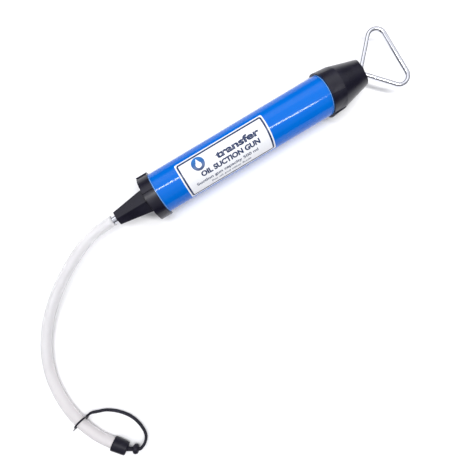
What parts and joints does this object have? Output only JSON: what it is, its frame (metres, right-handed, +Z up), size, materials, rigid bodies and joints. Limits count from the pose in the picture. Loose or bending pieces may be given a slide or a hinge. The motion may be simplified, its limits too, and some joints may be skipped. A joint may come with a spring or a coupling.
{
  "type": "hand suction gun",
  "caption": "Blue steel barrel with black screw caps, a wire-handled plunger inside, and a clear hose that ends in a tethered rubber dust cap; draws up and pushes out fluids.",
  "frame": {"origin": "on the surface the gun lies on, under the middle of the gun measured without its hose", "axes": "+X along the barrel from the nozzle to the handle, +Z up, the handle's triangle lying level"},
  "size_m": [0.6189, 0.3229, 0.0612],
  "materials": {
    "black_plastic": "satin moulded",
    "blue_enamel": "gloss enamel",
    "label_film": "satin film",
    "plated_steel": "bright zinc plate",
    "seal_rubber": "matt",
    "black_rubber": "satin",
    "brass": "turned",
    "piston_plastic": "natural moulded",
    "clear_hose": "clear flexible tube"
  },
  "bodies": {
    "front_cap": {"front_cap": "black_plastic", "hose_nipple": "plated_steel", "nipple_washer": "seal_rubber", "hose": "clear_hose", "tether_strap": "black_rubber", "tether_ring": "black_rubber"},
    "front_gasket": {"front_gasket": "seal_rubber"},
    "barrel": {"barrel": "blue_enamel", "label": "label_film"},
    "end_gasket": {"end_gasket": "seal_rubber"},
    "end_cap": {"end_cap": "black_plastic", "rod_bush": "brass", "rod_seal": "seal_rubber", "seal_washer": "plated_steel"},
    "piston": {"front_cup_seal": "seal_rubber", "piston_disc": "piston_plastic", "rear_cup_seal": "seal_rubber"},
    "handle": {"rod_and_handle": "plated_steel", "front_nut": "plated_steel", "lock_washer": "plated_steel", "front_washer": "plated_steel", "rear_washer": "plated_steel", "rear_nut": "plated_steel"},
    "dust_cap": {"dust_cap": "black_rubber"}
  },
  "joints": [
    {"name": "barrel_draw", "type": "slide", "parent": "front_cap", "child": "front_gasket", "axis": [1, 0, 0], "range_m": [0, 0.0097]},
    {"name": "barrel_turn", "type": "hinge", "parent": "front_gasket", "child": "barrel", "pos_m": [0, 0, 0.03058], "axis": [1, 0, 0], "range_deg": [0, 1152]},
    {"name": "cap_draw", "type": "slide", "parent": "barrel", "child": "end_gasket", "axis": [1, 0, 0], "range_m": [0, 0.0121]},
    {"name": "cap_turn", "type": "hinge", "parent": "end_gasket", "child": "end_cap", "pos_m": [0, 0, 0.03058], "axis": [1, 0, 0], "range_deg": [0, 1440]},
    {"name": "plunger_slide", "type": "slide", "parent": "end_gasket", "child": "piston", "axis": [1, 0, 0], "range_m": [0, 0.2385]},
    {"name": "handle_turn", "type": "hinge", "parent": "piston", "child": "handle", "pos_m": [0, 0, 0.03058], "axis": [1, 0, 0], "continuous": true},
    {"name": "dust_cap_pull", "type": "slide", "parent": "front_cap", "child": "dust_cap", "axis": [0.6, -0.8, 0], "range_m": [0, 0.018], "deforming": ["tether_strap"]}
  ],
  "couplings": [
    {"joint": "barrel_draw", "follows": "barrel_turn", "m_per_rad": 0.00047746},
    {"joint": "cap_draw", "follows": "cap_turn", "m_per_rad": 0.00047746}
  ]
}
